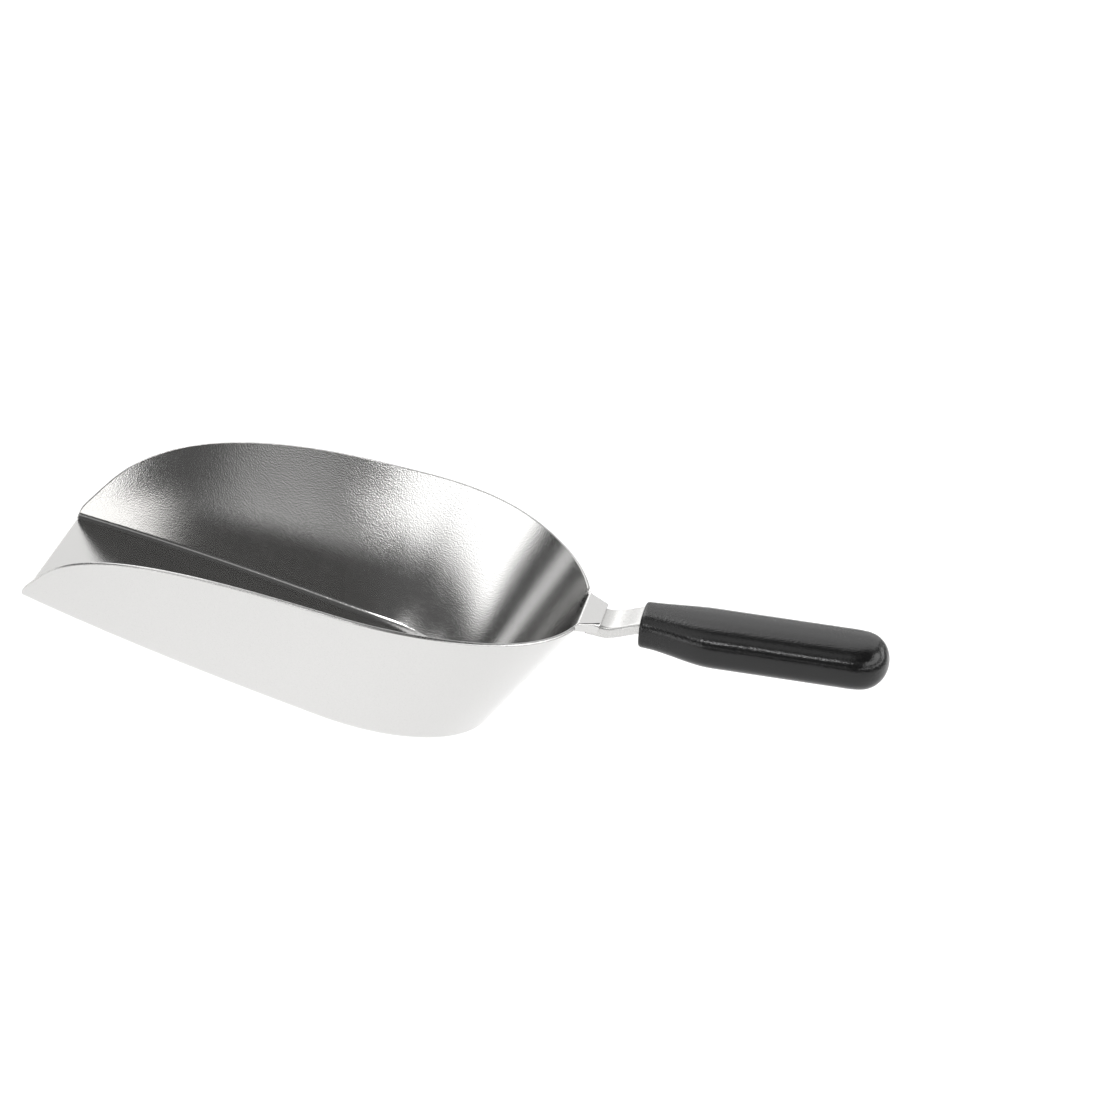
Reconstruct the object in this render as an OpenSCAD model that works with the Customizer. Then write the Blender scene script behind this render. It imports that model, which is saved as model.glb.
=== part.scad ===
// Ice scoop: pressed steel bowl, formed steel shank, moulded grip.
// Millimetres. +X from the pouring lip towards the grip, +Y to one side, +Z up.
// Origin: underside of the flat floor, floor_origin behind the lip, on the centre plane.

/* [Bowl] */
// length of the flat floor, lip to rear fold
floor_len = 130.6; // [120:0.2:142]
// width of the flat floor at the lip, sharp corner to sharp corner
lip_w = 49.8; // [44:0.2:56]
// greatest width of the flat floor, sharp corner to sharp corner
floor_w = 60.0; // [56:0.2:66]
// distance behind the lip where the rounded rear begins
side_len = 89.0; // [78:0.5:100]
// lean of the side walls outwards from vertical, degrees
side_lean = 22.8; // [15:0.1:30]
// lean of the rear wall outwards from vertical, degrees
rear_lean = 21.4; // [15:0.1:28]
// greatest height of the rim above the inside of the floor
bowl_depth = 43.7; // [38:0.1:50]
// sheet thickness of the bowl
sheet = 1.1; // [0.8:0.05:1.6]
// inside radius of the fold between floor and wall, at the lip
fold_r = 1.2; // [0.8:0.1:4]
// inside radius of the fold at the rear
fold_r_rear = 1.6; // [0.8:0.1:5]

/* [Neck] */
// half width of the neck where it leaves the rim
neck_root = 12.4; // [10:0.1:14]
// half width of the neck at its free end
neck_end = 7.0; // [6.6:0.1:8]
// how far the neck stands out behind the rim
neck_len = 5.2; // [4:0.1:8]
// depth of the turned-down sides of the neck, from its top
neck_side = 3.1; // [2.4:0.1:3.4]

/* [Shank] */
// thickness of the shank strip
shank_t = 1.5; // [1:0.1:2]
// depth of the turned-down sides in the open, from the top
shank_side = 3.4; // [2.6:0.1:4.4]
// half width of the tang inside the grip
tang_half = 4.8; // [4:0.1:5.6]
// rise of the grip line, degrees above the floor
grip_pitch = 13.6; // [8:0.1:18]
// height the shank climbs between the neck and the grip
shank_rise = 5.4; // [4:0.1:7]
// how far the tang reaches into the grip
tang_len = 57; // [45:1:58]
// radius of the two lock holes the grip plastic fills
lock_r = 2.0; // [1.2:0.1:2.6]

/* [Grip] */
// length of the grip along its own line
grip_len = 68.5; // [66:0.5:90]
// width of the grip
grip_w = 22.0; // [18:0.5:26]
// width of the grip at its front face
grip_front_w = 15.6; // [14:0.2:18]
// thickness of the grip
grip_t = 12.6; // [11.6:0.2:16]
// plastic above the tang, measured at the front face
grip_cover = 2.0; // [1.4:0.1:2.6]
// thickness of the grip at its front face
grip_front_t = 10.4; // [9.6:0.2:12]

/* [Hidden] */
$fn = 48;

// bowl
floor_origin = 65;
rear_len = floor_len - side_len;
side_taper = (floor_w - lip_w) / 2;
taper_power = 2.4;
// rim height at equal steps of the square root of the distance behind the lip,
// as parts of the depth; the last one is rim_span behind the lip
rim_part = [0.018, 0.156, 0.398, 0.600, 0.753, 0.863, 0.938, 1.0, 0.989];
rim_span = 155;
// steps along the side, round the rear quarter, round the fold and up the wall
n_side = 21;
n_rear = 27;
n_fold = 5;
n_wall = 7;
n_edge = n_side + n_rear;

// space behind the rear wall, used to trim the neck and shank
trim_rise = 9;      // height of its near face above the rim
trim_x = 260;       // place of its far face
trim_spread = 1.5;  // widening at the far face
trim_lift = 44;     // rise of the far top edge above the near one

// neck
neck_x0 = floor_len + bowl_depth * tan(rear_lean) - 0.1;
neck_x1 = neck_x0 + neck_len;
neck_z0 = bowl_depth - 0.15;
neck_slope = 0.125;
neck_overlap = 8;
neck_flare_len = neck_len + 1.2;
neck_flare_power = 1.15;
neck_corner_r = 1.4;

// shank
grip_x0 = neck_x1 + 11.0;
tang_x1 = grip_x0 + tang_len * cos(grip_pitch);
shank_half_open = neck_end - sheet;
shank_overlap = 5;
shank_corner_r = 0.9;
min_inner_r = 0.12;
climb_start = 0.9;          // behind the free end of the neck
tang_narrow = [-4, 16];     // start behind the grip's front face, length
tang_flatten = [1, 18];     // start behind the grip's front face, length
tang_side = shank_t + 0.6;
tang_x0 = grip_x0 + 18;     // the coarser steps begin here
lock_h = 16;
lock_parts = [0.42, 0.82];  // places of the lock holes, as parts of tang_len

// grip
widen_len = 20;
thicken_len = 22;
front_round = 0.75;          // inset of the front edge, over the first millimetre
width_end = [11, 2.3];       // rear rounding in plan: length, power
height_end = [7, 2.2];       // rear rounding in side view: length, power
grip_section_power = 0.74;   // below 1 squares the ellipse
n_grip = 56;

// ---- numbers and lists ----
function clamp(value, low, high) = min(max(value, low), high);
function ease(t) = let (u = clamp(t, 0, 1)) u * u * (3 - 2 * u);
function unit(v) = v / norm(v);
function steps(from, to, n) = [for (k = [0 : n]) from + (to - from) * k / n];
function reverse(list) = [for (i = [len(list) - 1 : -1 : 0]) list[i]];
function flatten(lists) = [for (list = lists) each list];

// list entry, carried on in a straight line one place past either end
function entry(list, i) =
    let (last = len(list) - 1)
    i < 0 ? 2 * list[0] - list[1]
    : i > last ? 2 * list[last] - list[last - 1]
    : list[i];
// Catmull-Rom curve through the list, t in list places
function spline(list, t) =
    let (u = clamp(t, 0, len(list) - 1.000001), i = floor(u), f = u - i,
         a = entry(list, i - 1), b = entry(list, i),
         c = entry(list, i + 1), d = entry(list, i + 2))
    b + 0.5 * f * (c - a + f * (2 * a - 5 * b + 4 * c - d + f * (3 * (b - c) + d - a)));

// ---- meshes ----
function split(quads) = [for (q = quads) each [[q[0], q[1], q[2]], [q[0], q[2], q[3]]]];

// quads of two facing grids and of the rims joining them, open along row 0;
// the points are the lines of the inner grid, then those of the outer
function skin_quads(lines, rows) =
    let (inner = function (c, r) c * rows + r,
         outer = function (c, r) (lines + c) * rows + r,
         end = lines - 1,
         top = rows - 1)
    concat(
        [for (c = [0 : end - 1], r = [0 : top - 1])
            [inner(c, r), inner(c, r + 1), inner(c + 1, r + 1), inner(c + 1, r)]],
        [for (c = [0 : end - 1], r = [0 : top - 1])
            [outer(c, r), outer(c + 1, r), outer(c + 1, r + 1), outer(c, r + 1)]],
        [for (c = [0 : end - 1])
            [inner(c, top), outer(c, top), outer(c + 1, top), inner(c + 1, top)]],
        [for (r = [0 : top - 1])
            [inner(0, r), outer(0, r), outer(0, r + 1), inner(0, r + 1)]],
        [for (r = [0 : top - 1])
            [inner(end, r), inner(end, r + 1), outer(end, r + 1), outer(end, r)]]);

// solid through closed rings of equally many points
module loft(rings, convexity) {
    m = len(rings[0]);
    last = len(rings) - 1;
    sides = [for (i = [0 : last - 1], j = [0 : m - 1])
        let (next = (j + 1) % m)
        [i * m + j, (i + 1) * m + j, (i + 1) * m + next, i * m + next]];
    start_cap = [for (j = [0 : m - 1]) j];
    end_cap = [for (j = [m - 1 : -1 : 0]) last * m + j];
    polyhedron(
        points = flatten(rings),
        faces = concat(split(sides), [start_cap, end_cap]),
        convexity = convexity);
}

// ---- bowl surface; from here x = 0 at the lip, z = 0 on the inside of the floor ----
function rim_z(x) =
    bowl_depth * spline(rim_part, sqrt(max(x, 0) / rim_span) * (len(rim_part) - 1));

// sharp edge of the floor on the +Y side, from the lip to the rear: [point, outward normal]
function floor_edge(i) = i <= n_side
    ? let (x = side_len * pow(i / n_side, 2),
           to_lip = 1 - x / side_len,
           slope = side_taper * taper_power * pow(to_lip, taper_power - 1) / side_len)
      [[x, floor_w / 2 - side_taper * pow(to_lip, taper_power)], unit([-slope, 1])]
    : let (angle = 90 * (i - n_side) / n_rear)
      [[side_len + rear_len * sin(angle), floor_w / 2 * cos(angle)],
       unit([sin(angle) / rear_len, cos(angle) / (floor_w / 2)])];

// outward run of the wall per unit of height
function wall_slope(normal) =
    tan(side_lean) * normal.y * normal.y + tan(rear_lean) * normal.x * normal.x;
function fold_radius(x) =
    fold_r + (fold_r_rear - fold_r) * pow(clamp(x / floor_len, 0, 1), 2);

// the fold turns up to the wall: its full angle, top height and start inside the sharp edge
function fold_angle(slope) = atan2(1, slope);
function fold_top(slope, radius) = radius * (1 - cos(fold_angle(slope)));
function fold_setback(slope, radius) = radius * tan(fold_angle(slope) / 2);

// distance out from the sharp edge at height z on the inside surface
function out_at(z, slope, radius) = z < fold_top(slope, radius)
    ? radius * sin(acos(1 - z / radius)) - fold_setback(slope, radius)
    : slope * z;

// height where the wall meets the rim curve, found by halving steps from the guess z
function fit_rim(point, normal, slope, radius, z = 30, rounds = 26) = rounds == 0 ? z
    : let (x = point.x + normal.x * out_at(z, slope, radius))
      fit_rim(point, normal, slope, radius, 0.5 * z + 0.5 * max(rim_z(x), 0.05), rounds - 1);

// points from the floor up the wall, offset outwards from the inside surface;
// side is 1 or -1 in y, extra carries the wall on above the rim
function wall_line(i, side, offset, extra) =
    let (edge = floor_edge(i), point = edge[0], normal = edge[1],
         slope = wall_slope(normal),
         radius = fold_radius(point.x),
         fold_z = fold_top(slope, radius),
         rim = fit_rim(point, normal, slope, radius),
         ends_in_fold = rim < fold_z,
         full_turn = ends_in_fold ? acos(1 - rim / radius) : fold_angle(slope),
         wall_z = min(fold_z, rim))
    [for (k = [0 : n_fold + n_wall])
        let (folding = k <= n_fold,
             turn = folding ? full_turn * k / n_fold : full_turn,
             z = folding ? radius * (1 - cos(turn))
                 : wall_z + (rim + extra - wall_z) * (k - n_fold) / n_wall,
             inside = folding || ends_in_fold
                 ? radius * sin(turn) - fold_setback(slope, radius) : slope * z,
             out = inside + offset * sin(turn))
        [point.x + normal.x * out, side * (point.y + normal.y * out), z - offset * cos(turn)]];

// wall lines from edge step first on the +Y side, round the rear, back along the -Y side
function wall_lines(first, offset, extra = 0) = concat(
    [for (i = [first : n_edge]) wall_line(i, 1, offset, extra)],
    [for (i = [n_edge - 1 : -1 : first]) wall_line(i, -1, offset, extra)]);

// floor and walls, one sheet
module pan() {
    inside = wall_lines(0, 0);
    outside = wall_lines(0, sheet);
    lines = len(inside);
    rows = len(inside[0]);
    below = lines * rows;
    floor_top = [for (c = [0 : lines - 1]) c * rows];
    floor_under = [for (c = [lines - 1 : -1 : 0]) below + c * rows];
    lip_face = [0, (lines - 1) * rows, below + (lines - 1) * rows, below];
    polyhedron(
        points = flatten(concat(inside, outside)),
        faces = concat(skin_quads(lines, rows), [floor_top, floor_under, lip_face]),
        convexity = 8);
}

// the space behind the rear wall, offset from its inside surface, to above the rim
module behind_wall(offset) {
    near = [for (line = wall_lines(n_side, offset, trim_rise))
        [for (k = [0 : n_wall]) line[n_fold + k]]];
    far = [for (line = near)
        [for (k = [0 : n_wall])
            [trim_x, line[k].y * trim_spread, line[k].z + trim_lift * k / n_wall]]];
    lines = len(near);
    rows = n_wall + 1;
    bottom = [for (c = [0 : lines - 2])
        [c * rows, (c + 1) * rows, (lines + c + 1) * rows, (lines + c) * rows]];
    polyhedron(
        points = flatten(concat(near, far)),
        faces = split(concat(skin_quads(lines, rows), bottom)),
        convexity = 6);
}

// ---- neck and shank: a channel section, open downwards, carried along a line ----
// one face of the channel, from the foot at +Y over the top to the foot at -Y
function arch(half, depth, top, radius, n) =
    let (right = concat([[half, -depth]], [for (angle = steps(0, 90, n))
            [half - radius + radius * cos(angle), top - radius + radius * sin(angle)]]))
    concat(right, [for (p = reverse(right)) [-p.x, p.y]]);
function channel(half, depth, thickness, radius, n) = concat(
    arch(half, depth, 0, radius, n),
    reverse(arch(half - thickness, depth, -thickness, max(radius - thickness, min_inner_r), n)));
// section points [y, z below the top] stood up at x
function ring_at(x, top, section) = [for (p = section) [x, p.x, top + p.y]];

function neck_top(x) = neck_z0 + neck_slope * (x - neck_x0);
function neck_half(x) = neck_end
    + (neck_root - neck_end) * pow(clamp((neck_x1 - x) / neck_flare_len, 0, 1), neck_flare_power);
module neck_skin() {
    loft([for (x = steps(neck_x0 - neck_overlap, neck_x1, 12))
        ring_at(x, neck_top(x), channel(neck_half(x), neck_side, sheet, neck_corner_r, 5))],
        convexity = 6);
}

// the shank's top line leaves the underside of the neck and eases over to the tang line
function under_neck(x) = neck_top(x) - sheet;
function tang_line(x) = under_neck(neck_x1) + shank_rise + tan(grip_pitch) * (x - grip_x0);
function shank_top(x) =
    let (part = ease((x - neck_x1 - climb_start) / (grip_x0 - neck_x1)))
    under_neck(x) * (1 - part) + tang_line(x) * part;
// change from one value to another over span = [start behind the grip's front face, length]
function tang_blend(x, from, to, span) =
    from + (to - from) * ease((x - grip_x0 - span[0]) / span[1]);

module shank_strip() {
    stations = concat(
        steps(neck_x0 - shank_overlap, tang_x0, 22),
        [for (k = [1 : 4]) tang_x0 + (tang_x1 - tang_x0) * k / 4]);
    loft([for (x = stations)
        let (half = tang_blend(x, shank_half_open, tang_half, tang_narrow),
             depth = tang_blend(x, shank_side, tang_side, tang_flatten))
        ring_at(x, shank_top(x), channel(half, depth, shank_t, shank_corner_r, 4))],
        convexity = 6);
}

module lock_holes() {
    for (part = lock_parts) {
        x = grip_x0 + tang_len * part * cos(grip_pitch);
        translate([x, 0, shank_top(x)])
            rotate([0, -grip_pitch, 0])
                translate([0, 0, -lock_h / 2])
                    cylinder(h = lock_h, r = lock_r);
    }
}

// ---- grip: rounded section carried along its own line, s from its front face ----
function end_round(s, end) =
    sqrt(max(1 - pow(max(s - (grip_len - end[0]), 0) / end[0], end[1]), 0));
function half_width(s) =
    (grip_front_w + (grip_w - grip_front_w) * ease(s / widen_len)) / 2 * end_round(s, width_end);
function half_body(s) =
    (grip_front_t + (grip_t - grip_front_t) * ease(s / thicken_len)) / 2;
function front_inset(s) = s < 1 ? front_round * (1 - sqrt(1 - pow(1 - s, 2))) : 0;
function squared(v) = sign(v) * pow(abs(v), grip_section_power);

function grip_ring(s) =
    let (half_w = half_width(s) - front_inset(s),
         half_h = half_body(s) * end_round(s, height_end) - front_inset(s),
         mid_z = grip_t / 2 - half_body(s))
    [for (j = [0 : n_grip - 1])
        let (angle = 360 * j / n_grip)
        [s, half_w * squared(cos(angle)), mid_z + half_h * squared(sin(angle))]];

module grip_form() {
    end_len = width_end[0];
    end_start = grip_len - end_len;
    stations = concat(
        [0, 0.35, 1.0],
        [for (k = [1 : 10]) 2.2 * k],
        [32, 44, 54, end_start],
        [for (k = [1 : 11]) end_start + end_len * sin(90 * k / 12)],
        [grip_len - 0.02]);
    translate([grip_x0, 0, tang_line(grip_x0) + grip_cover - grip_t / 2])
        rotate([0, -grip_pitch, 0])
            loft([for (s = stations) grip_ring(s)], convexity = 4);
}

// ---- pieces ----
module placed() {
    translate([-floor_origin, 0, sheet]) children();
}

// pressed bowl with its drawn neck, one sheet
module bowl() {
    color("silver") placed() union() {
        pan();
        intersection() {
            neck_skin();
            behind_wall(sheet / 2);
        }
    }
}

// formed strip: nests in the neck, climbs, runs on as the tang
module shank() {
    color("lightgray") placed() difference() {
        intersection() {
            shank_strip();
            behind_wall(sheet);
        }
        lock_holes();
    }
}

// moulded over the tang; fills the lock holes
module grip() {
    color("dimgray") placed() difference() {
        grip_form();
        difference() {
            shank_strip();
            lock_holes();
        }
    }
}

bowl();
shank();
grip();
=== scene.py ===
"""A pressed steel scoop with a black moulded grip.

It lies along X: the bowl's open lip is at -X, its rear wall, neck, shank and grip follow
towards +X. The frame is symmetric about Y = 0, and the underside of the floor is at Z = 0.
Shapes are worked out in millimetres, with x = 0 at the lip and z = 0 on the floor's inside
face; place() turns them into metres in the frame. "Near" is the -Y side, "far" the +Y side.
"""
import math

import bpy
import numpy as np
from mathutils import Matrix, Vector


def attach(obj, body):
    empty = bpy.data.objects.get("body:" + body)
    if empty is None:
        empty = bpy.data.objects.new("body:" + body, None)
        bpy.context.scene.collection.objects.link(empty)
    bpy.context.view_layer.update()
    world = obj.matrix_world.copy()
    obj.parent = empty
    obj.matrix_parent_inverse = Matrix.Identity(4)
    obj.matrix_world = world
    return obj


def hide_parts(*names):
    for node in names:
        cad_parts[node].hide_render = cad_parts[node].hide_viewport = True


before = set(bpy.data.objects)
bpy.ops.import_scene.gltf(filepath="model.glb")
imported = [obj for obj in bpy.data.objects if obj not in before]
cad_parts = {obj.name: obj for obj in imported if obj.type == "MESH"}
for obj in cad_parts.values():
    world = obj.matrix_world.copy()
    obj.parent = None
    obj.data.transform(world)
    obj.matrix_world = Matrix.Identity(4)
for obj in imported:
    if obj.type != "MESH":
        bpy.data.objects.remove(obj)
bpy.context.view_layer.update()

MM = 0.001

# ---------------------------------------------------------------- sizes (mm)
# bowl
FLOOR_LEN, FLOOR_W, LIP_W = 130.6, 60.0, 49.8
SIDE_LEN = 89.0  # from the lip to where the rounded rear begins
SIDE_LEAN, REAR_LEAN = math.radians(22.8), math.radians(21.4)
DEPTH, SHEET = 43.7, 1.1
FOLD_R, FOLD_R_REAR = 2.2, 3.2  # floor to wall, at the lip and at the rear
# rim height as a share of DEPTH, at even steps of sqrt(x / RIM_SPAN)
RIM_SHARE = np.array([0.018, 0.156, 0.398, 0.600, 0.753, 0.863, 0.938, 1.0, 0.989])
RIM_SPAN = 155.0
ORIGIN_X = 65.0  # x of the frame's origin

# neck: a channel, open below, from the rear rim to a free end
NECK_ROOT, NECK_END = 12.4, 7.0  # half widths
NECK_LEN, NECK_SIDE, NECK_SLOPE = 5.2, 3.1, 0.125
NECK_X0 = FLOOR_LEN + DEPTH * math.tan(REAR_LEAN) - 0.1
NECK_X1 = NECK_X0 + NECK_LEN
NECK_Z0 = DEPTH - 0.15

# shank: a channel strip under the neck, running on as a tang inside the grip
SHANK_T, SHANK_SIDE, TANG_HALF, TANG_LEN = 1.5, 3.4, 4.8, 57.0
PITCH, RISE = math.radians(13.6), 5.4

# grip
GRIP_X0 = NECK_X1 + 11.0
GRIP_LEN, GRIP_COVER = 68.5, 2.0
GRIP_W, GRIP_FRONT_W = 22.0, 15.6
GRIP_T, GRIP_FRONT_T = 12.6, 10.4
GRIP_END, GRIP_END_SIDE = 11.0, 7.0  # length of the rounded end in plan and in side view


def ease(t):
    u = np.clip(t, 0, 1)
    return u * u * (3 - 2 * u)


def unit(a):
    return a / np.maximum(np.linalg.norm(a, axis=-1, keepdims=True), 1e-12)


def place(points):
    """Working millimetres to metres in the frame."""
    return (np.asarray(points, float) + np.array([-ORIGIN_X, 0, SHEET])) * MM


def make(name, verts, faces, normals=None, smooth_faces=True):
    mesh = bpy.data.meshes.new(name)
    mesh.from_pydata([tuple(v) for v in verts], [], [tuple(int(i) for i in f) for f in faces])
    mesh.validate()
    mesh.update()
    if smooth_faces:
        mesh.polygons.foreach_set("use_smooth", np.ones(len(mesh.polygons), bool))
    if normals is not None:
        mesh.normals_split_custom_set_from_vertices([tuple(n) for n in normals])
    ob = bpy.data.objects.new(name, mesh)
    bpy.context.scene.collection.objects.link(ob)
    return ob


# ---------------------------------------------------------------- bowl: one pressed sheet
TAPER_POWER = 2.4  # how the floor widens from the lip
ACROSS = 44  # faces across the floor
EVEN = 12.0  # distance over which wall headings are evened out
NECK_DROP = 1.5  # how far the rim is lowered under the neck
EDGE_R, EDGE_POWER = 0.36, 2.6  # width and squareness of the sheet's rounded edge
CUT_W = 0.42  # width of the band marked as sheared edge
# distances from a free edge, where rows crowd together
FINE = np.array([0, 0.008, 0.03, 0.065, 0.11, 0.165, 0.23, 0.31, 0.41, 0.55, 0.75, 1.05])

# Shading normals of the inside face (degrees, mm); the mesh itself is not moved.
TURN, TURN_X, TURN_W = 9.4, 92.75, 21.5  # heading turned rearward around TURN_X
TURN_Z0, TURN_RISE = 6, 26  # height where the turn starts, and height it builds up over
OPEN, OPEN_L = 11.5, 28.5  # heading turned back near the lip
SOFT, SOFT_H = 15.0, 20.0  # softer slope above the fold, fading with height
SOFT_IN, SOFT_IN_W = -2.0, 14  # headings over which the softening starts
SOFT_OUT, SOFT_OUT_W = 62, 20  # and over which it ends


def spline(values, t):
    """Catmull-Rom curve through evenly spaced values."""
    last = len(values) - 1
    t = np.clip(t, 0, last - 1e-6)
    i = np.floor(t).astype(int)
    f = t - i
    padded = np.r_[2 * values[0] - values[1], values, 2 * values[-1] - values[-2]]
    a, b, c, d = padded[i], padded[i + 1], padded[i + 2], padded[i + 3]
    return b + 0.5 * f * (c - a + f * (2 * a - 5 * b + 4 * c - d + f * (3 * (b - c) + d - a)))


def rim_z(x):
    step = np.sqrt(np.clip(x, 0, None) / RIM_SPAN) * (len(RIM_SHARE) - 1)
    return DEPTH * spline(RIM_SHARE, step)


def half_outline():
    """Far half of the floor's outline, lip to rear centre: points and outward normals."""
    x = np.concatenate([FINE, np.geomspace(1.45, 8.0, 9), np.linspace(9.5, SIDE_LEN, 56)])
    to_lip = 1 - x / SIDE_LEN
    taper = (FLOOR_W - LIP_W) / 2
    y = FLOOR_W / 2 - taper * to_lip**TAPER_POWER
    slope = taper * TAPER_POWER * to_lip ** (TAPER_POWER - 1) / SIDE_LEN
    side = np.stack([x, y], -1)
    side_out = unit(np.stack([-slope, np.ones_like(slope)], -1))
    # the rear is a quarter of an ellipse
    angle = np.linspace(0, math.pi / 2, 73)[1:]
    a, b = FLOOR_LEN - SIDE_LEN, FLOOR_W / 2
    rear = np.stack([SIDE_LEN + a * np.sin(angle), b * np.cos(angle)], -1)
    rear[-1, 1] = 0.0
    rear_out = unit(np.stack([np.sin(angle) / a, np.cos(angle) / b], -1))
    rear_out[-1] = (1, 0)
    return np.concatenate([side, rear]), np.concatenate([side_out, rear_out])


def even_headings(foot, out):
    """Heading of each wall line (0 = +Y, 90 = +X), averaged with its neighbours."""
    run = np.r_[0, np.cumsum(np.linalg.norm(np.diff(foot, axis=0), axis=1))]
    heading = np.degrees(np.arctan2(out[:, 0], out[:, 1]))
    # carried on past the rear centre as a mirror image
    full_run = np.r_[run, 2 * run[-1] - run[-2::-1]]
    full_heading = np.r_[heading, 180 - heading[-2::-1]]
    width = np.gradient(full_run)
    even = []
    for at in run:
        weight = np.exp(-(((full_run - at) / EVEN) ** 2)) * width
        even.append(float((weight * full_heading).sum() / weight.sum()))
    return even


def wall_lean(out):
    """Outward run per unit of height."""
    return math.tan(SIDE_LEAN) * out[1] ** 2 + math.tan(REAR_LEAN) * out[0] ** 2


def wall_line(foot, out, drop, heading):
    """One line up the inside of the wall: points, outward normals and shading normals.

    drop lowers the rim.
    """
    lean = wall_lean(out)
    steep = math.atan2(1, lean)
    r = FOLD_R + (FOLD_R_REAR - FOLD_R) * min(max(foot[0] / FLOOR_LEN, 0), 1) ** 2
    fold_z, tangent = r * (1 - math.cos(steep)), r * math.tan(steep / 2)

    def out_at(z):
        return -tangent + r * math.sin(math.acos(1 - z / r)) if z < fold_z else lean * z

    # the rim's height depends on how far out the wall has leaned, so close in on it
    top_z = 30.0
    for _ in range(40):
        top_z = 0.5 * top_z + 0.5 * max(float(rim_z(foot[0] + out[0] * out_at(top_z))), 0.05)
    top_z -= drop
    top_angle = math.acos(1 - top_z / r) if top_z < fold_z else steep

    # rows by distance along the sheet: fold, body, then crowding at the rim
    fold = r * top_angle
    total = fold + max(top_z - fold_z, 0) / math.sin(steep)
    s_fold = np.linspace(0, min(fold, total * 0.45), 11)
    near_rim = total - FINE[::-1] * min(1.0, (total - s_fold[-1]) / 4.0)
    body = np.linspace(s_fold[-1], near_rim[0], 27)[1:-1]
    s = np.concatenate([s_fold, body, near_rim])

    slope = np.minimum(s / r, top_angle)
    straight = np.maximum(s - fold, 0)
    d = -tangent + r * np.sin(slope) + straight * math.cos(steep)
    z = r * (1 - np.cos(slope)) + straight * math.sin(steep)
    points = np.stack([foot[0] + out[0] * d, foot[1] + out[1] * d, z], -1)
    normals = np.stack([out[0] * np.sin(slope), out[1] * np.sin(slope), -np.cos(slope)], -1)

    turn = TURN * math.exp(-(((foot[0] - TURN_X) / TURN_W) ** 2)) * ease((z - TURN_Z0) / TURN_RISE)
    turn = turn - OPEN * math.exp(-((foot[0] / OPEN_L) ** 2))
    soft = ease((heading - SOFT_IN) / SOFT_IN_W) * (1 - ease((heading - SOFT_OUT) / SOFT_OUT_W))
    tilt = SOFT * soft * np.exp(-z / SOFT_H) * ease(z / 1.5)
    facing, slope = np.radians(heading + turn), slope - np.radians(tilt)
    shade = np.stack(
        [np.sin(facing) * np.sin(slope), np.cos(facing) * np.sin(slope), -np.cos(slope)], -1
    )
    # from the true normal at the foot of the fold to the shading normal at its top
    keep = ease(s / max(fold, 1e-6))[:, None]
    return points, normals, unit(shade * keep + normals * (1 - keep))


def wall_grid():
    """Wall lines from the near lip round the rear to the far lip: [column, row, xyz]."""
    foot, out = half_outline()
    lines = []
    for p, o, heading in zip(foot, out, even_headings(foot, out)):
        rim_y = abs(p[1] + o[1] * wall_lean(o) * DEPTH)
        under_neck = ease((NECK_ROOT - 1.2 - rim_y) / 1.6) if p[0] > SIDE_LEN else 0.0
        lines.append(wall_line(p, o, NECK_DROP * under_neck, heading))
    mirror = np.array([1, -1, 1])
    columns = [[a * mirror for a in line] for line in lines] + lines[-2::-1]
    return (np.array([column[i] for column in columns]) for i in range(3))


def edge_distance(points, loop):
    """Distance from each point to the sheet's border, and the direction away from it."""
    start, end = loop[:-1], loop[1:]
    real = np.linalg.norm(end - start, axis=1) > 1e-9
    start, end = start[real], end[real]
    along = end - start
    along2 = (along**2).sum(-1)
    dist = np.zeros(len(points))
    away = np.zeros((len(points), 3))
    block = 2000  # points at a time, to hold memory down
    for s in range(0, len(points), block):
        q = points[s : s + block]
        t = ((q[:, None] - start[None]) * along[None]).sum(-1) / along2[None]
        nearest = start[None] + np.clip(t, 0, 1)[..., None] * along[None]
        gap2 = ((q[:, None] - nearest) ** 2).sum(-1)
        j = gap2.argmin(1)
        i = np.arange(len(q))
        dist[s : s + block] = np.sqrt(gap2[i, j])
        away[s : s + block] = q - nearest[i, j]
    return dist, unit(away)


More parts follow.
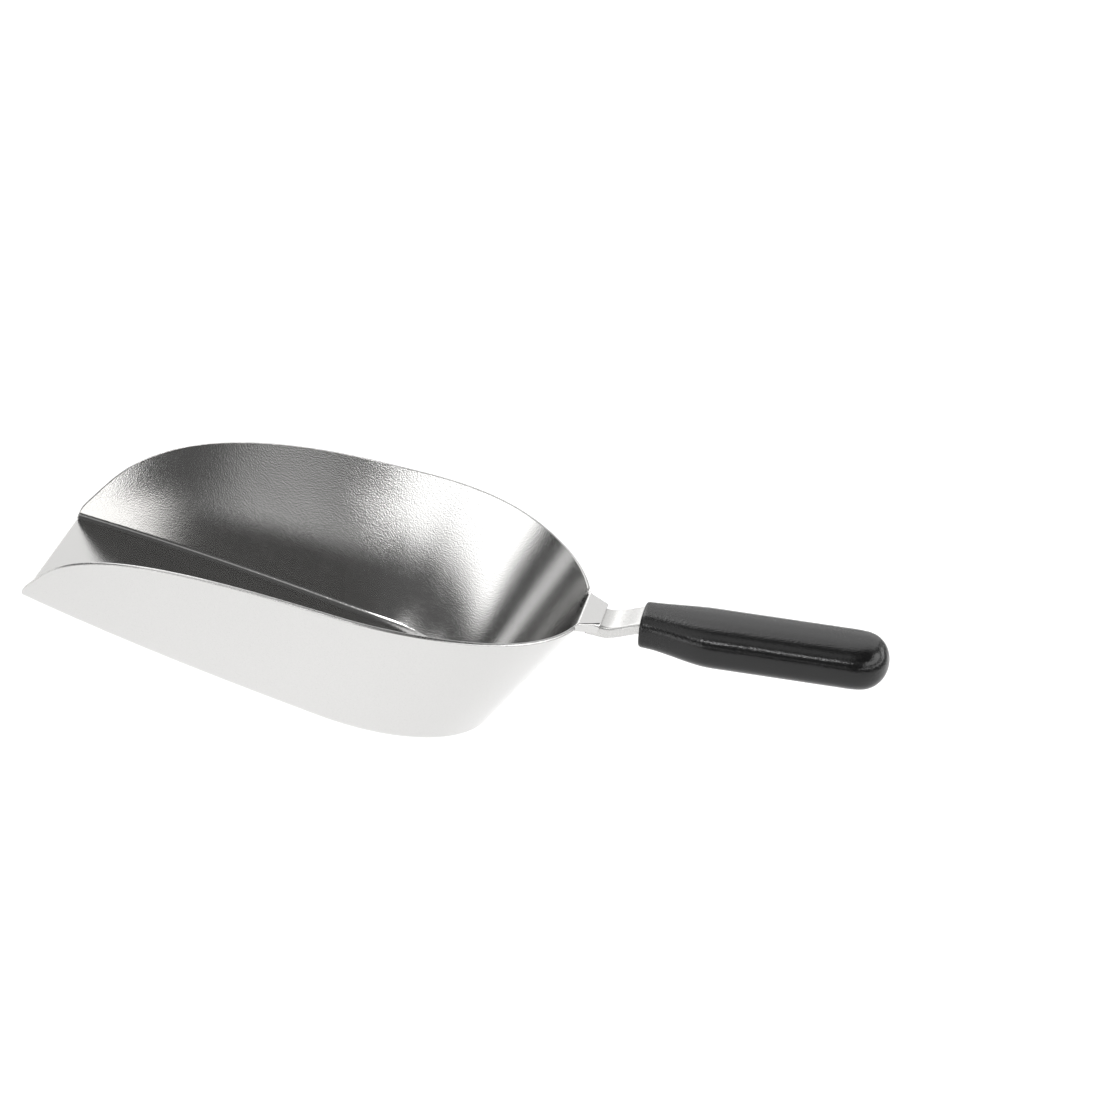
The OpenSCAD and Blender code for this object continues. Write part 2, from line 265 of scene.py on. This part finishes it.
def bowl_mesh():
    """Vertices, normals, faces and the sheared-edge mark of each vertex."""
    wall, wall_out, wall_shade = wall_grid()
    wall = wall + wall_out * SHEET / 2  # middle of the sheet
    n_cols, n_rows = wall.shape[:2]
    rear = n_cols // 2  # column at the rear centre

    # floor lines from the near fold to the far fold, finer next to the folds
    u = (0.5 - 0.5 * np.cos(np.linspace(0, math.pi, ACROSS + 1)))[None, 1:-1, None]
    floor = wall[:rear, 0][:, None] * (1 - u) + wall[:rear:-1, 0][:, None] * u
    n_floor = rear * (ACROSS - 1)
    mid = np.concatenate([wall.reshape(-1, 3), floor.reshape(-1, 3)])
    down = np.tile([0, 0, -1.0], (n_floor, 1))
    normal = np.concatenate([wall_out.reshape(-1, 3), down])
    shade = np.concatenate([wall_shade.reshape(-1, 3), down])

    # vertex numbers; each floor line begins and ends on the foot of the wall
    wall_id = np.arange(n_cols * n_rows).reshape(n_cols, n_rows)
    floor_id = np.column_stack([
        wall_id[:rear, 0],
        wall_id.size + np.arange(n_floor).reshape(rear, ACROSS - 1),
        wall_id[:rear:-1, 0],
    ])

    border = np.zeros(len(mid), bool)
    border[wall_id[:, -1]] = True
    border[wall_id[[0, -1]]] = True
    border[floor_id[0]] = True
    loop = np.concatenate([wall[:, -1], wall[-1, ::-1], floor[0][::-1], wall[0]])
    dist, inward = edge_distance(mid, loop)
    dist[border] = 0
    # on the border itself take the inward direction of the next vertex in
    inward[wall_id[:, -1]] = inward[wall_id[:, -2]]
    inward[wall_id[0, :-1]] = inward[wall_id[1, :-1]]
    inward[wall_id[-1, :-1]] = inward[wall_id[-2, :-1]]
    inward[floor_id[0, 1:-1]] = (1, 0, 0)

    # edge section: half thickness and its slope, flat with rounded corners
    q = np.clip(dist / EDGE_R, 1e-5, 1)
    full = 1 - (1 - q) ** EDGE_POWER
    half = SHEET / 2 * full ** (1 / EDGE_POWER)
    rise = SHEET / 2 / EDGE_R * full ** (1 / EDGE_POWER - 1) * (1 - q) ** (EDGE_POWER - 1)
    half = np.where(border, 0, half)[:, None]
    rise = np.where(border, 1e4, np.where(q < 1, rise, 0))[:, None]
    inward = inward - (inward * normal).sum(-1, keepdims=True) * normal

    # the two faces of the sheet share the border's vertices
    free = ~border
    outer_id = np.arange(len(mid))
    outer_id[free] = len(mid) + np.arange(free.sum())
    verts = np.concatenate([mid - half * normal, (mid + half * normal)[free]])
    normals = np.concatenate([unit(-shade - rise * inward), unit(normal - rise * inward)[free]])
    cut = 1 - ease(dist / CUT_W)
    faces = []

    def add_face(*ring):
        faces.append(ring[::-1])
        faces.append([outer_id[v] for v in ring])

    def add_grid(ids):
        for a, b in zip(ids[:-1], ids[1:]):
            for k in range(len(a) - 1):
                yield a[k], a[k + 1], b[k + 1], b[k]

    for a, b, c, d in add_grid(wall_id):
        add_face(a, d, c, b)
    for ring in add_grid(floor_id):
        add_face(*ring)
    for k in range(ACROSS):
        add_face(floor_id[-1, k], floor_id[-1, k + 1], wall_id[rear, 0])
    return verts, normals, faces, np.concatenate([cut, cut[free]])


# ---------------------------------------------------------------- lofted closed sections
CORNER_STEPS = 7


def loft(rings, caps=True):
    rings = np.array(rings)
    n, m = rings.shape[:2]
    faces = [
        [i * m + j, i * m + (j + 1) % m, (i + 1) * m + (j + 1) % m, (i + 1) * m + j]
        for i in range(n - 1)
        for j in range(m)
    ]
    if caps:
        faces.append(list(range(m))[::-1])
        faces.append([(n - 1) * m + j for j in range(m)])
    return rings.reshape(-1, 3), faces


def rounded(points, radii):
    """Closed 2-D polygon with each corner rounded by its own radius."""
    points = [np.array(p, float) for p in points]
    out = []
    for i, (corner, r) in enumerate(zip(points, radii)):
        u, v = points[i - 1] - corner, points[(i + 1) % len(points)] - corner
        len_u, len_v = np.linalg.norm(u), np.linalg.norm(v)
        u, v = u / len_u, v / len_v
        angle = math.acos(max(-1, min(1, float(u @ v))))
        tangent = min(r / math.tan(angle / 2), 0.48 * len_u, 0.48 * len_v)
        r = tangent * math.tan(angle / 2)
        centre = corner + unit(u + v) * (r / math.sin(angle / 2))
        a, b = corner + u * tangent - centre, corner + v * tangent - centre
        sweep = math.acos(max(-1, min(1, float(a @ b) / (r * r + 1e-15))))
        for step in range(CORNER_STEPS + 1):
            w = step / CORNER_STEPS
            arc = math.sin((1 - w) * sweep) * a + math.sin(w * sweep) * b
            out.append(centre + arc / max(math.sin(sweep), 1e-9))
    return np.array(out)


def channel(half_w, height, thick, corner_r, edge_r):
    """Channel section, open below: [y, z below the top]. Its first half is the outside."""
    inner_r = max(corner_r - thick, 0.25)
    w, in_w = half_w, half_w - thick
    outside = [(w, -height), (w, 0), (-w, 0), (-w, -height)]
    inside = [(-in_w, -height), (-in_w, -thick), (in_w, -thick), (in_w, -height)]
    radii = [edge_r, corner_r, corner_r, edge_r, edge_r, inner_r, inner_r, edge_r]
    return rounded(outside + inside, radii)


# ---------------------------------------------------------------- neck
NECK_CORNER = 1.4
NECK_BEND_R = 1.5
NECK_TIP = 0.26  # rounding of the free end
# start of the top skin: distance back from the bend, and how far it is sunk in the sheet
NECK_START = [(3.2, 0.24), (2.6, 0.07), (1.9, 0), (1.3, 0), (0.8, 0), (0.3, 0)]


def neck_top(x):
    return NECK_Z0 + NECK_SLOPE * (x - NECK_X0)


def neck_half(x):
    to_root = np.clip((NECK_X1 - x) / (NECK_LEN + 1.2), 0, 1)
    return NECK_END + (NECK_ROOT - NECK_END) * to_root**1.15


def rim_bow(y):
    """How far the rear rim has curved back towards -X at this distance from Y = 0."""
    lean = DEPTH * math.tan(REAR_LEAN)
    a, b = FLOOR_LEN - SIDE_LEN + lean, FLOOR_W / 2 + lean
    return -a * (1 - np.sqrt(np.maximum(1 - (y / b) ** 2, 0)))


def neck_section(x, trim=0.0):
    """Section at x: y, z below the top, and how far each point belongs to the top skin."""
    section = channel(
        neck_half(x) - trim * 0.5, NECK_SIDE - trim * 0.5, SHEET - trim, NECK_CORNER, 0.3
    )
    dz = section[:, 1] - trim * 0.5
    outside = len(section) // 2
    skin = np.zeros(len(section))
    skin[:outside] = ease(1 + dz[:outside] / NECK_CORNER)
    return section[:, 0], dz, skin


def neck_mesh():
    """Up the inside of the rear wall, bent over the rim, out to the free end."""
    lean = math.tan(REAR_LEAN)
    inside_x = FLOOR_LEN + 0.02  # inside face of the rear wall, at z = 0

    def buried(z, ring):
        """x within the rear wall's sheet, a little further out for each ring."""
        return inside_x + lean * z + SHEET / 2 / math.cos(REAR_LEAN) - 0.2 + 0.015 * ring

    # top skin in side view: up the wall, round the bend
    steep, shallow = math.pi / 2 - REAR_LEAN, math.atan(NECK_SLOPE)
    corner_z = (neck_top(NECK_X0) + NECK_SLOPE * (inside_x - NECK_X0)) / (1 - NECK_SLOPE * lean)
    corner_x = inside_x + lean * corner_z
    tangent = NECK_BEND_R * math.tan((steep - shallow) / 2)
    path = [
        (
            corner_x - (tangent + back) * math.cos(steep) + sunk,
            corner_z - (tangent + back) * math.sin(steep),
        )
        for back, sunk in NECK_START
    ]
    bend_x = corner_x - tangent * math.cos(steep) + NECK_BEND_R * math.sin(steep)
    bend_z = corner_z - tangent * math.sin(steep) - NECK_BEND_R * math.cos(steep)
    path += [
        (bend_x - NECK_BEND_R * math.sin(t), bend_z + NECK_BEND_R * math.cos(t))
        for t in np.linspace(steep, shallow, 9)
    ]
    flat_x = path[-1][0]

    # the skin follows the bend; the rest of each section stays buried in the wall
    rings = []
    y, dz, skin = neck_section(flat_x)
    z_flat = neck_top(flat_x) + dz
    for j, (path_x, path_z) in enumerate(path):
        x = skin * path_x + (1 - skin) * buried(z_flat, j) + rim_bow(y)
        z = skin * path_z + (1 - skin) * z_flat
        rings.append(np.stack([x, y, z], -1))

    # outward, then the rounded free end: x and trim of each section
    tip_x = NECK_X1 - NECK_TIP
    spots = [(flat_x + (tip_x - flat_x) * t, 0.0) for t in np.linspace(0, 1, 12)[1:]]
    for step in range(1, 6):
        t = step / 5 * math.pi / 2
        spots.append((NECK_X1 - NECK_TIP * (1 - math.sin(t)), NECK_TIP * (1 - math.cos(t))))
    for at, trim in spots:
        y, dz, skin = neck_section(at, trim)
        z = neck_top(at) + dz
        t = (at - flat_x) / (NECK_X1 - flat_x)
        # the first sections lean with the wall so the sides leave it cleanly
        leaning = buried(z, len(path)) * (1 - t) + at * t
        x = skin * at + (1 - skin) * leaning + rim_bow(y) * (1 - t) ** 1.3
        rings.append(np.stack([x, y, z], -1))
    return loft(rings)


# ---------------------------------------------------------------- shank
def tang_line(x):
    return neck_top(NECK_X1) - SHEET + RISE + math.tan(PITCH) * (x - GRIP_X0)


def shank_top(x):
    """From the neck's inner face up to the line of the tang."""
    w = ease((x - NECK_X1 - 0.9) / (GRIP_X0 - NECK_X1))
    return (neck_top(x) - SHEET) * (1 - w) + tang_line(x) * w


def shank_mesh():
    xs = np.concatenate([
        np.linspace(NECK_X0 + 1.9, GRIP_X0 + 4, 54),
        np.linspace(GRIP_X0 + 5, GRIP_X0 + TANG_LEN * math.cos(PITCH), 24),
    ])
    front_half, tang_side = NECK_END - SHEET, SHANK_T + 0.6
    rings = []
    for x in xs:
        half = front_half + (TANG_HALF - front_half) * ease((x - GRIP_X0 + 4) / 16)
        side = SHANK_SIDE + (tang_side - SHANK_SIDE) * ease((x - GRIP_X0 - 1) / 18)
        section = channel(half, side, SHANK_T, 0.9, 0.35)
        y, z = section[:, 0], shank_top(x) + section[:, 1]
        rings.append(np.stack([np.full(len(section), x), y, z], -1))
    return loft(rings)


# ---------------------------------------------------------------- grip
GRIP_AROUND = 160
GRIP_SQUARE = 0.74  # power of the section; 1 would be an ellipse
FRONT_ROUND = 0.75  # rounding of the front edge, over the first millimetre
RIDGE, RIDGE_W = 0.05, 0.16  # hair-line ridge along both sides


def end_round(s, length, power):
    return np.sqrt(np.maximum(1 - (np.maximum(s - (GRIP_LEN - length), 0) / length) ** power, 0))


def grip_half_w(s):
    half = (GRIP_FRONT_W + (GRIP_W - GRIP_FRONT_W) * ease(s / 20)) / 2
    return half * end_round(s, GRIP_END, 2.3)


def grip_mesh():
    angle = np.linspace(0, 2 * math.pi, GRIP_AROUND, endpoint=False)
    c, d = np.cos(angle), np.sin(angle)
    side = np.sign(c) * np.abs(c) ** GRIP_SQUARE
    up = np.sign(d) * np.abs(d) ** GRIP_SQUARE
    end_start = GRIP_LEN - GRIP_END
    stations = np.concatenate([
        1.0 - np.cos(np.linspace(0, math.pi / 2, 9)),
        np.linspace(1.8, 24, 30),
        np.linspace(25.5, end_start, 24),
        end_start + GRIP_END * np.sin(np.linspace(0, math.pi / 2, 40)[1:-1]),
    ])
    rings = []
    for s in stations:
        trim = FRONT_ROUND * (1 - math.sqrt(max(1 - (1 - s) ** 2, 0))) if s < 1 else 0.0
        body = (GRIP_FRONT_T + (GRIP_T - GRIP_FRONT_T) * ease(s / 22)) / 2
        w, h = grip_half_w(s) - trim, body * end_round(s, GRIP_END_SIDE, 2.2) - trim
        ridge = RIDGE * np.exp(-((up * h / RIDGE_W) ** 2)) * (1 if s < GRIP_LEN - 3 else 0)
        z = GRIP_T / 2 - body + h * up  # the top stays level
        rings.append(np.stack([np.full(GRIP_AROUND, s), (w + ridge) * side, z], -1))
    verts, faces = loft(rings, caps=False)

    # front face: rings shrinking to its middle; the other end closes on a tip
    front = rings[0]
    middle = front.mean(0)
    inner = [middle + (front - middle) * k for k in (0.93, 0.7, 0.4)]
    first_inner = len(verts)
    verts = np.concatenate([verts, *inner, middle[None], np.array([[GRIP_LEN, 0, 0]])])
    middle_id, tip_id = len(verts) - 2, len(verts) - 1
    last = first_inner - GRIP_AROUND
    around = [(j, (j + 1) % GRIP_AROUND) for j in range(GRIP_AROUND)]
    outer = 0
    for k in range(len(inner)):
        ring = first_inner + k * GRIP_AROUND
        faces += [[outer + a, ring + a, ring + b, outer + b] for a, b in around]
        outer = ring
    faces += [[outer + a, middle_id, outer + b] for a, b in around]
    faces += [[last + a, last + b, tip_id] for a, b in around]

    # turn up by the pitch, with the top GRIP_COVER above the tang
    cos_p, sin_p = math.cos(PITCH), math.sin(PITCH)
    x, y, z = verts.T
    z0 = tang_line(GRIP_X0) + GRIP_COVER - GRIP_T / 2
    return np.stack([GRIP_X0 + x * cos_p - z * sin_p, y, z0 + x * sin_p + z * cos_p], -1), faces


# ---------------------------------------------------------------- node materials
class Nodes:
    """Short calls for building the node tree of a material or world, emptied first."""

    def __init__(self, owner):
        owner.use_nodes = True
        self.tree = owner.node_tree
        self.tree.nodes.clear()

    def add(self, kind, **settings):
        node = self.tree.nodes.new(kind)
        for key, value in settings.items():
            setattr(node, key, value)
        return node

    def link(self, source, target):
        self.tree.links.new(source, target)

    def feed(self, socket, value):
        if isinstance(value, bpy.types.NodeSocket):
            self.link(value, socket)
        else:
            socket.default_value = value

    def coords(self, output="Object"):
        return self.add("ShaderNodeTexCoord").outputs[output]

    def math(self, operation, a, b=0.0, c=None):
        node = self.add("ShaderNodeMath", operation=operation)
        self.feed(node.inputs[0], a)
        self.feed(node.inputs[1], b)
        if c is not None:
            self.feed(node.inputs[2], c)
        return node.outputs[0]

    def ramp(self, value, span=(0.3, 0.7), to=(0.0, 1.0), kind="LINEAR"):
        node = self.add("ShaderNodeMapRange", interpolation_type=kind)
        for socket, v in zip(node.inputs, (value, *span, *to)):
            self.feed(socket, v)
        return node.outputs[0]

    def noise(self, vec, scale, detail=2.0, rough=0.5, stretch=(1, 1, 1), dist=0.0,
              offset=(0, 0, 0)):
        mapping = self.add("ShaderNodeMapping")
        self.link(vec, mapping.inputs[0])
        mapping.inputs[1].default_value = offset
        mapping.inputs[3].default_value = stretch
        node = self.add("ShaderNodeTexNoise")
        self.link(mapping.outputs[0], node.inputs["Vector"])
        node.inputs["Scale"].default_value = scale
        node.inputs["Detail"].default_value = detail
        node.inputs["Roughness"].default_value = rough
        node.inputs["Distortion"].default_value = dist
        return node.outputs[0]

    def mix(self, factor, a, b):
        node = self.add("ShaderNodeMix", data_type="RGBA")
        self.feed(node.inputs[0], factor)
        for socket, colour in ((node.inputs[6], a), (node.inputs[7], b)):
            self.feed(socket, (*colour, 1) if isinstance(colour, tuple) else colour)
        return node.outputs[2]

    def bump(self, height, distance, normal=None):
        node = self.add("ShaderNodeBump")
        node.inputs["Strength"].default_value = 1.0
        node.inputs["Distance"].default_value = distance
        self.link(height, node.inputs["Height"])
        if normal is not None:
            self.link(normal, node.inputs["Normal"])
        return node.outputs[0]

    def mix_shaders(self, first, second):
        node = self.add("ShaderNodeMixShader")
        self.link(first.outputs[0], node.inputs[1])
        self.link(second.outputs[0], node.inputs[2])
        return node

    def output(self, shader, kind="ShaderNodeOutputMaterial"):
        self.link(shader.outputs[0], self.add(kind).inputs[0])


def steel(name, tint, rough, grain=1.0, wave=1.0, seed=0.0):
    """Rolled stainless sheet: fine grain, faint lines along X, slow waviness, light wear."""
    material = bpy.data.materials.new(name)
    k = Nodes(material)
    co = k.coords()
    off = (seed, seed * 0.7, seed * 1.3)
    fine = k.noise(co, scale=2700, detail=1, offset=off)
    mid = k.noise(co, scale=1100, rough=0.55, offset=off)
    rolled = k.noise(co, scale=900, detail=3, rough=0.55, stretch=(0.035, 1, 1), offset=off)
    slow = k.noise(co, scale=26, rough=0.45, offset=off)
    broad = k.noise(co, scale=9, offset=off)
    scratch = k.noise(co, scale=380, detail=4, rough=0.7, stretch=(0.05, 1, 1), dist=0.9,
                      offset=(0.3, 0.1, 0.2))
    mark = k.ramp(scratch, span=(0.66, 0.72), kind="SMOOTHSTEP")
    wipe = k.noise(co, scale=60, detail=4, rough=0.6, stretch=(1, 0.35, 0.6), dist=1.4,
                   offset=(0.7, 0.2, 0.4))

    def shaded(share):
        return tuple(t * share for t in tint)

    # colour: barely moving
    colour = k.mix(k.ramp(broad), shaded(0.965), tint)
    speckle = k.math("MULTIPLY", k.ramp(fine, span=(0.25, 0.75)), 0.5)
    colour = k.mix(speckle, colour, shaded(0.90))
    # the sheared edge is a little duller and greyer than the sheet's faces
    cut = k.add("ShaderNodeAttribute", attribute_name="cut").outputs["Fac"]
    tearing = k.noise(co, scale=1400, rough=0.6, stretch=(1, 1, 0.3))
    torn = k.math("MULTIPLY", cut, k.ramp(tearing, span=(0.35, 0.65), to=(0.55, 1.0)))
    colour = k.mix(torn, colour, shaded(0.72))

    # roughness: grain, wiped patches, scratches, sheared edge, rolling lines
    r = k.math("ADD", rough, k.ramp(fine, to=(-0.025, 0.03)))
    r = k.math("ADD", r, k.ramp(wipe, to=(-0.012, 0.016)))
    r = k.math("ADD", r, k.math("MULTIPLY", mark, 0.06))
    r = k.math("ADD", r, k.math("MULTIPLY", torn, 0.2))
    r = k.math("ADD", r, k.ramp(rolled, to=(-0.012, 0.012)))

    # relief: pattern and its depth in metres
    normal = None
    for height, depth in (
        (slow, 1.2e-4 * wave),
        (rolled, 6e-7 * grain),
        (mid, 2.8e-6 * grain),
        (fine, 2.2e-5 * grain),
        (mark, 1e-6),
    ):
        normal = k.bump(height, depth, normal)

    # two finishes at once: burnished high spots over a satin ground
    lobes = []
    for part in (rough * 0.48, rough * 1.1):
        lobe = k.add("ShaderNodeBsdfPrincipled")
        k.link(colour, lobe.inputs["Base Color"])
        lobe.inputs["Metallic"].default_value = 1.0
        k.link(k.math("ADD", r, part - rough), lobe.inputs["Roughness"])
        k.link(normal, lobe.inputs["Normal"])
        lobes.append(lobe)
    both = k.mix_shaders(*lobes)
    k.link(k.ramp(fine, to=(0.55, 0.75)), both.inputs[0])
    k.output(both)
    return material


def plastic(name):
    """Black moulded plastic: fine pebbled texture, smoother in broad patches."""
    material = bpy.data.materials.new(name)
    k = Nodes(material)
    co = k.coords()
    grain = k.noise(co, scale=2100, detail=3, rough=0.6)
    cell = k.add("ShaderNodeTexVoronoi", feature="SMOOTH_F1")
    k.link(co, cell.inputs["Vector"])
    cell.inputs["Scale"].default_value = 1700
    cell.inputs["Smoothness"].default_value = 0.6
    broad = k.noise(co, scale=70, detail=3, rough=0.55, dist=0.6)
    rub = k.noise(co, scale=25, offset=(0.4, 0.2, 0.9))
    # colour: two near blacks, lifted slightly on the grain
    colour = k.mix(k.ramp(broad), (0.0045, 0.0045, 0.0048), (0.0075, 0.0075, 0.0077))
    lift = k.math("MULTIPLY", k.ramp(grain, span=(0.35, 0.7)), 0.4)
    colour = k.mix(lift, colour, (0.011, 0.011, 0.011))
    # roughness: base, grain, rubbed patches
    r = k.math("ADD", 0.23, k.ramp(grain, to=(-0.05, 0.06)))
    r = k.math("ADD", r, k.ramp(rub, span=(0.35, 0.65), to=(-0.05, 0.04)))
    # relief: cells and grain
    cells = k.math("MULTIPLY", cell.outputs["Distance"], 0.9)
    height = k.math("ADD", cells, k.math("MULTIPLY", grain, 0.6))
    normal = k.bump(height, distance=3.6e-5)
    shader = k.add("ShaderNodeBsdfPrincipled")
    k.link(colour, shader.inputs["Base Color"])
    k.link(r, shader.inputs["Roughness"])
    shader.inputs["IOR"].default_value = 1.46
    shader.inputs["Specular IOR Level"].default_value = 0.5
    k.link(normal, shader.inputs["Normal"])
    k.output(shader)
    return material


# ---------------------------------------------------------------- build the pieces
def make_piece(name, verts, faces, normals=None):
    return make(name, place(verts), faces, normals)


bowl_verts, bowl_normals, bowl_faces, bowl_cut = bowl_mesh()
bowl = make_piece("bowl_pressed", bowl_verts, bowl_faces, bowl_normals)
cut_mark = bowl.data.attributes.new("cut", "FLOAT", "POINT")
cut_mark.data.foreach_set("value", bowl_cut.astype(np.float32))
neck = make_piece("bowl_neck", *neck_mesh())
shank = make_piece("shank_strip", *shank_mesh())
grip = make_piece("grip_moulded", *grip_mesh())
for ob in (neck, shank):
    even_normals = ob.modifiers.new("even_normals", "WEIGHTED_NORMAL")
    even_normals.mode = "FACE_AREA"
    even_normals.weight = 50

bowl_steel = steel("bowl_steel", tint=(0.655, 0.650, 0.641), rough=0.135)
shank_steel = steel(
    "shank_steel", tint=(0.60, 0.595, 0.585), rough=0.27, grain=1.3, wave=0.5, seed=0.37
)
grip_plastic = plastic("grip_plastic")

FINISHES = ((bowl, bowl_steel), (neck, bowl_steel), (shank, shank_steel), (grip, grip_plastic))
for ob, material in FINISHES:
    ob.data.materials.append(material)
for ob, _ in FINISHES:
    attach(ob, "root")
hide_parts("bowl")
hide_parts("shank")
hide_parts("grip")

# the hidden CAD nodes carry the same finishes
for node, material in (("bowl", bowl_steel), ("shank", shank_steel), ("grip", grip_plastic)):
    cad_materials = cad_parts[node].data.materials
    cad_materials.clear()
    cad_materials.append(material)


# ---------------------------------------------------------------- studio (metres)
FLOOR_Z, FLOOR_HALF = -0.20, 6.0
FLOOR_GLOW = 0.31
KEY_AZIMUTH, KEY_ELEVATION = math.radians(-24), math.radians(50)
KEY_DISTANCE, KEY_AIM = 2.6, (0.05, 0, 0.03)
KEY_SIZE, KEY_POWER = (0.46, 0.26), 6.5
BACKDROP = 1.05  # brightness of the world as the camera sees it directly

# Degrees; azimuth 0 is towards -Y and 90 towards +X.
# brightness, azimuth from..to, elevation from..to, softness of the sides, of top and bottom
PANELS = [
    (0.105, -180, 180, -60, 100, 1, 8),
    (2.2, -71, -27.1, -40, 21.3, 18.7, 10.4),
    (0.84, -126, -48, 36.1, 77, 7, 5),
    (2.72, 38, 147, 31.5, 57.6, 10.6, 5.2),
    (2.97, 25, 157.5, 13.9, 22, 6, 4.3),
    (2.15, -156.8, -127, 16.2, 49.6, 5.7, 5),
    (0.88, -7, 3, 11.8, 17.1, 9, 5.7),
    (3.65, -30.2, -13, 8, 15.2, 15, 5.4),
    (0.69, -103, -90.9, -40, 21.5, 5, 5),
    (0.26, -30.4, 35.3, 47.8, 66, 8, 8),
    (0.35, -104, -19.2, 39.7, 57.1, 6.4, 5),
    (0.98, 163.6, 223.5, 4.2, 48.6, 7.6, 6),
]


def floor_material():
    """Pale, faintly glowing floor, clear from below."""
    material = bpy.data.materials.new("studio_floor")
    k = Nodes(material)
    geometry = k.add("ShaderNodeNewGeometry")
    tone = k.noise(k.coords(), scale=6, detail=3)
    diffuse = k.add("ShaderNodeBsdfDiffuse")
    k.link(k.mix(k.ramp(tone), (0.90, 0.90, 0.90), (0.93, 0.93, 0.93)), diffuse.inputs[0])
    glow = k.add("ShaderNodeEmission")
    glow.inputs["Strength"].default_value = FLOOR_GLOW
    lit = k.add("ShaderNodeAddShader")
    k.link(diffuse.outputs[0], lit.inputs[0])
    k.link(glow.outputs[0], lit.inputs[1])
    clear = k.add("ShaderNodeBsdfTransparent")
    sided = k.mix_shaders(lit, clear)
    k.link(geometry.outputs["Backfacing"], sided.inputs[0])
    k.output(sided)
    return material


def studio_world():
    """Soft-edged white panels over a dim surround; plain and pale to the camera."""
    world = bpy.data.worlds.new("studio")
    bpy.context.scene.world = world
    k = Nodes(world)
    direction = k.add("ShaderNodeSeparateXYZ")
    k.link(k.coords("Generated"), direction.inputs[0])
    x, y, z = direction.outputs
    elevation = k.math("MULTIPLY", k.math("ARCSINE", z), 180 / math.pi)
    azimuth = k.math("ARCTAN2", x, k.math("MULTIPLY", y, -1.0))
    azimuth = k.math("MULTIPLY", azimuth, 180 / math.pi)

    def edge(value, at, soft, to=(0.0, 1.0)):
        return k.ramp(value, span=(at - soft / 2, at + soft / 2), to=to, kind="SMOOTHSTEP")

    level = None
    for bright, az0, az1, el0, el1, soft_az, soft_el in PANELS:
        bottom = edge(elevation, el0, soft_el)
        panel = k.math("MULTIPLY", bottom, edge(elevation, el1, soft_el, to=(1.0, 0.0)))
        if az1 - az0 < 356:  # a panel all the way round has no sides
            away = k.math("SUBTRACT", azimuth, (az0 + az1) / 2)
            away = k.math("ABSOLUTE", k.math("WRAP", away, 180.0, -180.0))
            sides = edge(away, (az1 - az0) / 2, soft_az, to=(1.0, 0.0))
            panel = k.math("MULTIPLY", panel, sides)
        panel = k.math("MULTIPLY", panel, bright)
        level = panel if level is None else k.math("ADD", level, panel)

    panels, pale = (k.add("ShaderNodeBackground") for _ in range(2))
    for background, strength in ((panels, level), (pale, BACKDROP)):
        k.feed(background.inputs["Strength"], strength)
        background.inputs["Color"].default_value = (1, 1, 1, 1)
    ray = k.add("ShaderNodeLightPath")
    seen = k.mix_shaders(panels, pale)
    k.link(ray.outputs["Is Camera Ray"], seen.inputs[0])
    k.output(seen, "ShaderNodeOutputWorld")


def key_light():
    data = bpy.data.lights.new("key", "AREA")
    data.shape = "RECTANGLE"
    data.size, data.size_y = KEY_SIZE
    data.energy = KEY_POWER
    light = bpy.data.objects.new("key", data)
    bpy.context.scene.collection.objects.link(light)
    at = KEY_DISTANCE * Vector((
        math.cos(KEY_ELEVATION) * math.sin(KEY_AZIMUTH),
        -math.cos(KEY_ELEVATION) * math.cos(KEY_AZIMUTH),
        math.sin(KEY_ELEVATION),
    ))
    light.location = at
    light.rotation_mode = "QUATERNION"
    light.rotation_quaternion = (Vector(KEY_AIM) - at).to_track_quat("-Z", "Y")


corners = [(-1, -1), (1, -1), (1, 1), (-1, 1)]
floor = make(
    "studio_floor",
    [(x * FLOOR_HALF, y * FLOOR_HALF, FLOOR_Z) for x, y in corners],
    [(0, 1, 2, 3)],
    smooth_faces=False,
)
floor.data.materials.append(floor_material())
studio_world()
key_light()

# ---------------------------------------------------------------- camera
CAM_TURN, CAM_TILT, CAM_ROLL = (math.radians(a) for a in (2.0, 27.807, -19.514))
CAM_POINT = np.array([84.0, 0, 14.0])  # reference point (working mm)
CAM_RIGHT, CAM_UP, CAM_BACK = 58.28228, 18.6634, 1008.0  # eye from that point (mm)
SENSOR, LENS = 36.0, 117.818182


def add_camera():
    data = bpy.data.cameras.new("camera")
    camera = bpy.data.objects.new("camera", data)
    bpy.context.scene.collection.objects.link(camera)
    data.sensor_width = SENSOR
    data.lens = LENS
    data.clip_start, data.clip_end = 0.05, 50

    level = np.array([math.cos(CAM_TURN), math.sin(CAM_TURN), 0])
    ahead = np.array([
        -math.sin(CAM_TURN) * math.cos(CAM_TILT),
        math.cos(CAM_TURN) * math.cos(CAM_TILT),
        -math.sin(CAM_TILT),
    ])
    upright = np.cross(level, ahead)
    right = math.cos(CAM_ROLL) * level - math.sin(CAM_ROLL) * upright
    up = math.sin(CAM_ROLL) * level + math.cos(CAM_ROLL) * upright
    eye = place(CAM_POINT + CAM_RIGHT * right + CAM_UP * up - CAM_BACK * ahead)
    rows = np.column_stack([right, up, -ahead, eye]).tolist()
    camera.matrix_world = Matrix(rows + [[0, 0, 0, 1]])
    bpy.context.scene.camera = camera


add_camera()
bpy.context.scene.view_settings.view_transform = "Standard"
bpy.context.scene.view_settings.look = "None"
